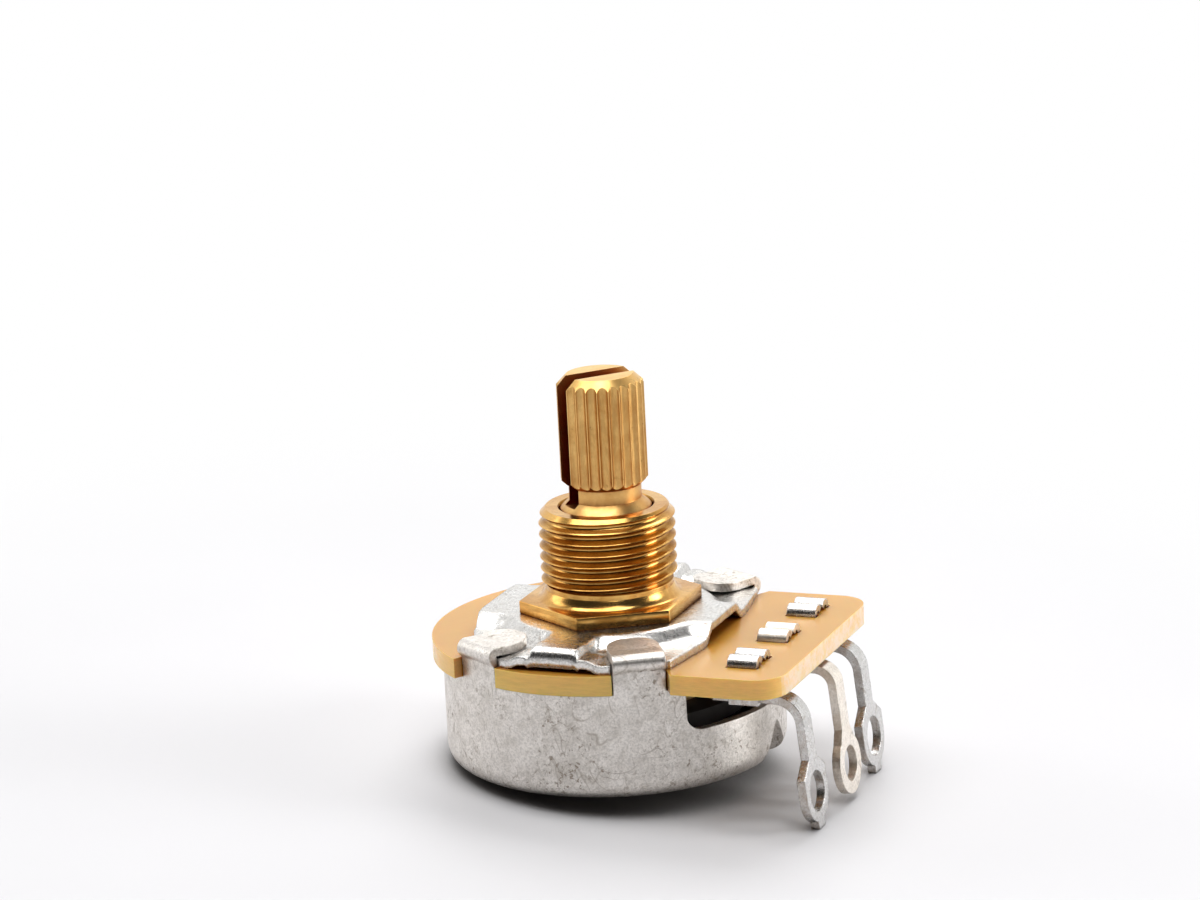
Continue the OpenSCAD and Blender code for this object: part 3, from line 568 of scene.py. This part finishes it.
# %% the tinned finish
def tinned_steel(name, light, dark, rough, specks, edge=None, round_off=0.00012, hollow_darkening=0.5):
    mat, tree, bsdf = new_material(name)
    space = object_space(tree)
    # stains of a millimetre, the tin's own grain, pits, and the places where the pits are
    cloud = noise(tree, space, 900, 8, 0.78, 0.3)
    fine = noise(tree, space, 6500, 5, 0.7)
    grain = noise(tree, space, 2600, 6, 0.75, 0.5)
    patches = noise(tree, space, 300, 4, 0.65)
    colour = mix(tree, ramp(tree, cloud, ((0.40, 0.0), (0.58, 1.0))), dark, light)
    colour = mix(tree, ramp(tree, fine, ((0.42, 0.42), (0.54, 0.0))), colour, shades(dark, 0.62))
    pits = times(tree, ramp(tree, grain, ((0.55, 0.0), (0.60, 1.0))),
                 ramp(tree, patches, ((0.44, 0.0), (0.58, 1.0))))
    colour = mix(tree, times(tree, pits, specks), colour, PIT)
    colour = scratched(tree, space, colour)
    # painted shade: corners and places close to other pieces are darker where the Ambient Occlusion node
    # finds them closed in
    corners = ramp(tree, openness(tree, 0.0009), ((0.25, hollow_darkening), (0.8, 0.0)))
    colour = mix(tree, corners, colour, CORNER_SHADE)
    if edge:
        sheared = times(tree, ramp(tree, face_along(tree, "Y"), ((0.6, 0.0), (0.85, 1.0))),
                        ramp(tree, noise(tree, space, 700, 5, 0.7), ((0.38, 0.60), (0.58, 0.10))))
        colour = mix(tree, sheared, colour, edge)
    feed(tree, bsdf.inputs["Base Color"], colour)
    bsdf.inputs["Metallic"].default_value = 1.0
    feed(tree, bsdf.inputs["Roughness"], ramp(tree, cloud, ((0.32, rough[1]), (0.62, rough[0]))))
    # every relief is a few hundredths of a millimetre deep
    normal = soft_edges(tree, round_off)
    normal = bump(tree, cloud, 0.35, 0.00007, normal)
    normal = bump(tree, grain, 0.35, 0.00003, normal)
    normal = bump(tree, fine, 0.25, 0.000012, normal)
    feed(tree, bsdf.inputs["Normal"], normal)
    return mat


# %% can, plate and lugs
# the lugs were sheared from strip, so the steel shows brown on their cut sides
tinned = {
    "can": tinned_steel("tinned_can", (0.85, 0.81, 0.765), (0.68, 0.64, 0.59), (0.36, 0.48), 0.85),
    "plate": tinned_steel("tinned_plate", (0.84, 0.83, 0.81), (0.70, 0.68, 0.65), (0.20, 0.34), 0.5,
                          round_off=0.00025, hollow_darkening=0.4),
    "lug": tinned_steel("tinned_lug", (0.76, 0.75, 0.74), (0.66, 0.65, 0.63), (0.22, 0.34), 0.3,
                        edge=(0.30, 0.21, 0.14)),
    "silver_lug": tinned_steel("silver_lug", (0.95, 0.89, 0.81), (0.86, 0.79, 0.70), (0.34, 0.46), 0.25,
                               edge=(0.50, 0.38, 0.27)),
}
print("tinned finishes:", sorted(tinned))

# %% [markdown]
# ## Brass
# Bushing and shaft are bright on their crests and brown in their grooves, partly tarnish where hands and
# polish never reach and partly painted shade. A metal has no dark of its own, so the brown is painted into
# its colour where the Ambient Occlusion node finds the grooves. A metal also mirrors pure white at a flat
# angle. The tint is mixed down in the same places, which paints shade into the reflection too, or the
# inside of the shaft's slot would shine grey. Noise that is squashed along Z gives the tool's rings.

# %% the brass finish
STAIN = (0.16, 0.07, 0.02)


def brass(name, light=(0.84, 0.50, 0.15), dark=(0.62, 0.31, 0.07), rough=(0.17, 0.26), rings=0.10,
          reach=0.0010, tarnish_and_shade=(0.13, 0.030, 0.004), groove=0.0):
    mat, tree, bsdf = new_material(name)
    space = object_space(tree)
    cloud = noise(tree, space, 420, 5, 0.62, 0.3)
    fine = noise(tree, space, 3800, 5, 0.7)
    patches = noise(tree, space, 600, 2, 0.5)
    colour = mix(tree, ramp(tree, cloud, ((0.36, 0.0), (0.62, 1.0))), dark, light)
    stains = times(tree, ramp(tree, fine, ((0.60, 0.0), (0.67, 1.0))),
                   ramp(tree, patches, ((0.50, 0.0), (0.62, 1.0))))
    colour = mix(tree, times(tree, stains, 0.7), colour, STAIN)
    if groove:
        # painted shade in the grooves between the knurl's teeth, broken into streaks along them
        streaks = noise(tree, object_space(tree, (1, 1, 0.2)), 1800, 5, 0.75)
        groove_shade_streaks = times(tree, ramp(tree, openness(tree, 0.0006), ((0.72, groove), (0.98, 0.0))),
                       ramp(tree, streaks, ((0.44, 0.2), (0.56, 1.0))))
        colour = mix(tree, groove_shade_streaks, colour, shades(dark, 0.3))
    # painted shade with some tarnish: grooves and corners are darker in the colour and in the reflection's
    # tint
    hollow_darkening = ramp(tree, openness(tree, reach), ((0.38, 1.0), (0.82, 0.0)))
    feed(tree, bsdf.inputs["Base Color"], mix(tree, hollow_darkening, colour, tarnish_and_shade))
    feed(tree, bsdf.inputs["Specular Tint"], mix(tree, hollow_darkening, (1.0, 1.0, 1.0), tarnish_and_shade))
    bsdf.inputs["Metallic"].default_value = 1.0
    feed(tree, bsdf.inputs["Roughness"], ramp(tree, cloud, ((0.32, rough[1]), (0.66, rough[0]))))
    turned = noise(tree, object_space(tree, (0.02, 0.02, 1)), 9000, 3, 0.6)
    normal = soft_edges(tree, 0.00004)
    normal = bump(tree, turned, rings, 0.00002, normal)
    normal = bump(tree, fine, 0.12, 0.00002, normal)
    feed(tree, bsdf.inputs["Normal"], normal)
    return mat


# %% bushing and shaft
# the shaft's painted shade reaches deep, so that its slot is painted dark inside
bright = {
    "brass": brass("turned_brass"),
    "knurl": brass("knurled_brass", (0.88, 0.58, 0.21), (0.73, 0.42, 0.13), (0.28, 0.38), 0.05,
                   reach=0.0050, tarnish_and_shade=(0.38, 0.055, 0.008), groove=0.65),
}
print("brass finishes:", sorted(bright))

# %% [markdown]
# ## The phenolic board
# The board is paper soaked in resin and baked, and it was punched from sheet. Light goes a little way
# into it, so it gets some subsurface light, more red than blue. Its face is smooth, its cut sides are
# paler and show the layers of paper, and a deeper orange is painted in as shade where other pieces
# stand close.
# Colours for faces and sides are chosen by the direction of the normal, so no second piece is needed.


# %% the board's finish
def rims(tree, radius):
    """1 on an edge and 0 on a flat, by how far the softened normal turns away there."""
    geometry = tree.nodes.new("ShaderNodeNewGeometry")
    turned = tree.nodes.new("ShaderNodeVectorMath")
    turned.operation = "DOT_PRODUCT"
    tree.links.new(soft_edges(tree, radius), turned.inputs[0])
    tree.links.new(geometry.outputs["True Normal"], turned.inputs[1])
    return ramp(tree, turned.outputs["Value"], ((0.80, 1.0), (0.985, 0.0)))


def phenolic(name, face, edge, glow, end):
    mat, tree, bsdf = new_material(name)
    space = object_space(tree)
    cloud = noise(tree, space, 160, 4, 0.5)
    fibre = noise(tree, object_space(tree, (1, 1, 8)), 900, 6, 0.7)
    weave = noise(tree, space, 2600, 4, 0.6)
    top = mix(tree, ramp(tree, cloud, ((0.35, 0.0), (0.65, 1.0))), shades(face, 0.93), face)
    top = mix(tree, ramp(tree, weave, ((0.3, 0.10), (0.5, 0.0))), top, shades(face, 0.7))
    side = mix(tree, ramp(tree, fibre, ((0.38, 0.0), (0.6, 1.0))), shades(edge, 0.9), edge)
    # the sawn end by the lugs is paler and shows its fibres
    sawn = times(tree, ramp(tree, face_along(tree, "X"), ((0.90, 0.0), (0.99, 1.0))),
                 ramp(tree, noise(tree, space, 1500, 5, 0.7), ((0.35, 0.25), (0.60, 0.85))))
    side = mix(tree, sawn, side, end)
    colour = mix(tree, ramp(tree, face_along(tree, "Z"), ((0.3, 0.0), (0.7, 1.0))), side, top)
    # the rims are painted paler: worn edges, and a painted highlight along them
    colour = mix(tree, times(tree, rims(tree, 0.00018), 0.45), colour, shades(edge, 1.12))
    # painted shade: a deeper orange where the Ambient Occlusion node finds other pieces close
    shade_near_parts = ramp(tree, openness(tree, 0.0030), ((0.30, 1.0), (0.88, 0.0)))
    colour = mix(tree, shade_near_parts, colour, shades((1.0, 0.31, 0.03), 0.55 * face[0]))
    feed(tree, bsdf.inputs["Base Color"], colour)
    feed(tree, bsdf.inputs["Roughness"], ramp(tree, weave, ((0.3, 0.26), (0.7, 0.17))))
    bsdf.inputs["IOR"].default_value = 1.6
    bsdf.inputs["Subsurface Weight"].default_value = glow
    bsdf.inputs["Subsurface Radius"].default_value = (1.0, 0.42, 0.10)
    bsdf.inputs["Subsurface Scale"].default_value = 0.0010
    normal = soft_edges(tree, 0.0001)
    normal = bump(tree, weave, 0.10, 0.00003, normal)
    normal = bump(tree, fibre, 0.12, 0.00003, normal)
    feed(tree, bsdf.inputs["Normal"], normal)
    return mat


# %% the amber board, and the dark one inside the can
boards = {
    "board": phenolic("amber_phenolic", (0.63, 0.325, 0.052), (0.95, 0.58, 0.13), 0.4, (0.93, 0.74, 0.55)),
    "dark_board": phenolic("dark_phenolic", (0.16, 0.08, 0.04), (0.24, 0.13, 0.07), 0.0, (0.26, 0.16, 0.10)),
}
print("board finishes:", sorted(boards))

# %% [markdown]
# ## The pieces inside the can
# Track, wiper, washers and rotor hardly show, and only through the gap under the lugs. They still get
# a finish each, because the parts are reused and taken apart. Colour and roughness over one cloudy
# noise are enough here.


# %% a plain finish, and the inner pieces that use it
def plain(name, colour, rough, metal=0.0):
    mat, tree, bsdf = new_material(name)
    cloud = noise(tree, object_space(tree), 900, 5, 0.6)
    feed(tree, bsdf.inputs["Base Color"], mix(tree, cloud, shades(colour, 0.7), colour))
    bsdf.inputs["Metallic"].default_value = metal
    feed(tree, bsdf.inputs["Roughness"], ramp(tree, cloud, ((0.3, min(1.0, rough + 0.12)), (0.7, rough))))
    feed(tree, bsdf.inputs["Normal"], bump(tree, cloud, 0.15, 0.00003, soft_edges(tree, 0.00004)))
    return mat


inner = {
    "carbon": plain("carbon_film", (0.02, 0.02, 0.02), 0.55),
    "silver": plain("silver_film", (0.82, 0.80, 0.76), 0.3, 1.0),
    "fibre": plain("dark_fibre", (0.10, 0.07, 0.05), 0.7),
    "steel": plain("plain_steel", (0.45, 0.45, 0.46), 0.35, 1.0),
    "moulding": plain("dark_moulding", (0.012, 0.008, 0.006), 0.6),
    "bronze": plain("spring_bronze", (0.72, 0.46, 0.22), 0.28, 1.0),
}
print("inner finishes:", sorted(inner))

# %% give every piece its finish
finishes = {**tinned, **bright, **boards, **inner}
PIECES = {
    "can": ["housing_can"],
    "plate": ["mounting_plate"],
    "lug": ["start_lug", "end_lug"],
    "silver_lug": ["centre_lug"],
    "brass": ["threaded_bushing", "left_contact_rivet", "right_contact_rivet"],
    "knurl": ["control_shaft"],
    "board": ["terminal_board"],
    "dark_board": ["element_horseshoe"],
    "carbon": ["carbon_track"],
    "silver": ["start_silver_pad", "end_silver_pad", "collector_ring"],
    "fibre": ["thrust_washer"],
    "steel": ["spring_washer", "retaining_ring", "stop_plate"],
    "moulding": ["rotor_disc"],
    "bronze": ["contact_spring"],
}
for finish, names in PIECES.items():
    for name in names:
        node[name].data.materials.clear()
        node[name].data.materials.append(finishes[finish])
thread.data.materials.append(finishes["brass"])
sheet.data.materials.append(finishes["plate"])
print("finishes:", len(finishes), "for", sum(map(len, PIECES.values())), "pieces")

# %% [markdown]
# ## The table
# The real part doesn't lie flat: the can's rear edge and the tips of the two long lugs touch the table.
# The piece has to stay where the frame puts it, so the table leans instead, through the same points.

# %% a plane through the can's edge and the lugs' tips
REST_A = Vector((-11.0 * MM, 0, 0))
REST_B = Vector((16.95 * MM, 0, -2.45 * MM))
TABLE_SIZE = 3
lean = math.atan2(REST_B.z - REST_A.z, REST_B.x - REST_A.x)
print("the part leans by", round(math.degrees(lean), 2), "degrees")

bpy.ops.object.select_all(action="DESELECT")
bpy.ops.mesh.primitive_plane_add(size=TABLE_SIZE)
table = bpy.context.object
table.name = "table_top"
activate(table)
bpy.ops.object.mode_set(mode="EDIT")
bpy.ops.mesh.select_all(action="SELECT")
bpy.ops.transform.rotate(value=lean, orient_axis="Y", center_override=REST_A)
bpy.ops.object.mode_set(mode="OBJECT")
print("table heights:", [round(v.co.z, 4) for v in table.data.vertices])

# %% [markdown]
# ## The camera
# The photograph was taken from a little above, with a long lens. Turn, height, roll and distance were
# fitted to points of the part that show in it. Three turns in a row give the camera's own directions:
# about the shaft's axis, down by the elevation, and the small roll.

# %% where the camera stands
TURN = math.radians(-22)
ELEVATION = 0.257
ROLL = -0.051
# the part's origin as the camera sees it: to the right, down and away
SHIFT = Vector((1.282, 20.793, 349.485)) * MM


def camera_rotation():
    c, s = math.cos(TURN), math.sin(TURN)
    ce, se = math.cos(ELEVATION), math.sin(ELEVATION)
    cr, sr = math.cos(ROLL), math.sin(ROLL)
    about_z = Matrix(((c, -s, 0), (s, c, 0), (0, 0, 1)))
    look = Matrix(((1, 0, 0), (0, -se, -ce), (0, ce, -se)))
    roll = Matrix(((cr, -sr, 0), (sr, cr, 0), (0, 0, 1)))
    return roll @ look @ about_z


view = camera_rotation()
right = Vector(view[0])
up = -Vector(view[1])
back = -Vector(view[2])
place = -(view.transposed() @ SHIFT)
print("camera at", [round(v, 4) for v in place])

# %% the camera itself
lens = bpy.data.cameras.new("camera")
lens.lens = 150.0
lens.sensor_width = 36
lens.sensor_fit = "HORIZONTAL"
lens.clip_start = 0.01
lens.clip_end = 20
camera = bpy.data.objects.new("camera", lens)
bpy.context.scene.collection.objects.link(camera)
camera.matrix_world = Matrix((
    (right.x, up.x, back.x, place.x),
    (right.y, up.y, back.y, place.y),
    (right.z, up.z, back.z, place.z),
    (0, 0, 0, 1),
))
bpy.context.scene.camera = camera
print("lens in mm:", lens.lens)

# %% [markdown]
# ## Light
# Round polished metal shows its surroundings more than its lamps. The brass in the photograph has a
# dark middle and bright flanks, so the studio must be white behind the part and dark on the camera's
# side. Soft panels then add the light from the front, from above and from both sides. The camera itself
# always sees white.

# %% soft panels
AIM = Vector((0, 0, 0.01))


def panel(name, offset, size, energy):
    """A soft area light. offset is in metres to the camera's right, up and towards the camera."""
    data = bpy.data.lights.new(name, "AREA")
    data.shape = "RECTANGLE"
    data.size, data.size_y = size
    data.energy = energy
    obj = bpy.data.objects.new(name, data)
    bpy.context.scene.collection.objects.link(obj)
    where = right * offset[0] + up * offset[1] + back * offset[2]
    towards = (AIM - where).to_track_quat("-Z", "Y")
    obj.matrix_world = Matrix.Translation(where) @ towards.to_matrix().to_4x4()
    return obj


panels = [
    panel("front_panel", (-0.06, 0.31, 0.14), (0.40, 0.20), 0.95),
    panel("top_panel", (0.04, 0.32, -0.12), (0.20, 0.16), 0.45),
    panel("right_panel", (0.34, 0.10, 0.03), (0.12, 0.28), 0.72),
    panel("left_panel", (-0.34, 0.14, -0.08), (0.14, 0.30), 0.25),
]
print("panels:", len(panels), "with", round(sum(item.data.energy for item in panels), 2), "watts")

# %% a studio that is bright behind and dark in front
BRIGHT = 0.80
DARK = 0.03
world = bpy.data.worlds.new("studio")
bpy.context.scene.world = world
world.use_nodes = True
studio = world.node_tree
direction = studio.nodes.new("ShaderNodeTexCoord")
behind = studio.nodes.new("ShaderNodeVectorMath")
behind.operation = "DOT_PRODUCT"
behind.inputs[1].default_value = -back
studio.links.new(direction.outputs["Generated"], behind.inputs[0])


def half_bright(high, begin, end):
    """Strength of the studio: dark on the camera's side and high behind the part."""
    item = studio.nodes.new("ShaderNodeMapRange")
    item.interpolation_type = "SMOOTHSTEP"
    for key, value in (("From Min", begin), ("From Max", end), ("To Min", DARK), ("To Max", high)):
        item.inputs[key].default_value = value
    studio.links.new(behind.outputs["Value"], item.inputs["Value"])
    return item.outputs["Result"]


room = studio.nodes["Background"]
room.inputs["Color"].default_value = (1.0, 0.99, 0.985, 1)
studio.links.new(half_bright(BRIGHT, -0.35, 0.35), room.inputs["Strength"])
print("strength of the studio: from", DARK, "to", BRIGHT)


# %% a white backdrop for the camera, for metal and for glass
def ray_kinds(tree):
    return tree.nodes.new("ShaderNodeLightPath").outputs


def seen_or_mirrored(tree, rays):
    """1 for what the camera sees directly or in metal and glass, 0 for light that falls on things."""
    mirrored = math_node(tree, "MAXIMUM", rays["Is Glossy Ray"], rays["Is Transmission Ray"])
    return math_node(tree, "MAXIMUM", rays["Is Camera Ray"], mirrored)


rays = ray_kinds(studio)
backdrop = studio.nodes.new("ShaderNodeBackground")
backdrop.inputs["Color"].default_value = (1, 1, 1, 1)
mirror_strength = half_bright(1.0, -0.20, 0.50)
feed(studio, backdrop.inputs["Strength"],
     math_node(studio, "MAXIMUM", rays["Is Camera Ray"], mirror_strength))
choose = studio.nodes.new("ShaderNodeMixShader")
studio.links.new(seen_or_mirrored(studio, rays), choose.inputs[0])
studio.links.new(room.outputs[0], choose.inputs[1])
studio.links.new(backdrop.outputs[0], choose.inputs[2])
studio.links.new(choose.outputs[0], studio.nodes["World Output"].inputs["Surface"])
print("nodes in the studio:", len(studio.nodes))

# %% [markdown]
# ## The table's surface
# In the photograph the table is paper-white far from the part and takes a soft shadow near it. A white
# table alone turns grey where the light thins out. So it is a matt white close by and fades into plain
# light with the distance, but only for what is seen or mirrored: the light that falls on the part
# stays as it is. Right under the can and the lugs the tone is darker, as a contact shadow is.

# %% matt near the part
NEAR = 0.03
FAR = 0.09
CONTACT = 0.0035
mat, tree, bsdf = new_material("table_white")
space = object_space(tree)
tone = ramp(tree, noise(tree, space, 30, 2), ((0.3, (0.67, 0.665, 0.68)), (0.7, (0.69, 0.685, 0.70))))
contact = ramp(tree, openness(tree, CONTACT), ((0.30, 0.95), (0.70, 0.0)))
feed(tree, bsdf.inputs["Base Color"], mix(tree, contact, tone, (0.10, 0.09, 0.085)))
bsdf.inputs["Roughness"].default_value = 0.5
bsdf.inputs["Specular IOR Level"].default_value = 0.3
print("matt up to", NEAR, "m from the part")


# %% plain light in the distance
def along(source, begin, end):
    """0 up to begin and 1 from end on, for a distance in metres."""
    item = tree.nodes.new("ShaderNodeMapRange")
    item.inputs["From Min"].default_value = begin
    item.inputs["From Max"].default_value = end
    tree.links.new(source, item.inputs["Value"])
    return item


distance = tree.nodes.new("ShaderNodeVectorMath")
distance.operation = "LENGTH"
tree.links.new(space, distance.inputs[0])
fade = along(distance.outputs["Value"], NEAR, FAR)
fade.interpolation_type = "SMOOTHSTEP"

# a trace of grey at the front edge of the picture, as in the photograph
to_front = tree.nodes.new("ShaderNodeVectorMath")
to_front.operation = "DOT_PRODUCT"
to_front.inputs[1].default_value = back
tree.links.new(space, to_front.inputs[0])
front = along(to_front.outputs["Value"], -0.06, 0.08).outputs["Result"]
# painted shade: the plain light is greyer towards the front
haze = tree.nodes.new("ShaderNodeEmission")
feed(tree, haze.inputs["Color"], mix(tree, front, (1.0, 1.0, 1.0), (0.945, 0.94, 0.955)))

blend = tree.nodes.new("ShaderNodeMixShader")
seen = seen_or_mirrored(tree, ray_kinds(tree))
feed(tree, blend.inputs[0], times(tree, fade.outputs["Result"], seen))
tree.links.new(bsdf.outputs[0], blend.inputs[1])
tree.links.new(haze.outputs[0], blend.inputs[2])
tree.links.new(blend.outputs[0], tree.nodes["Material Output"].inputs["Surface"])
table.data.materials.append(mat)
print("plain white from", FAR, "m on")

# %% finish
bpy.context.scene.view_settings.view_transform = "Standard"
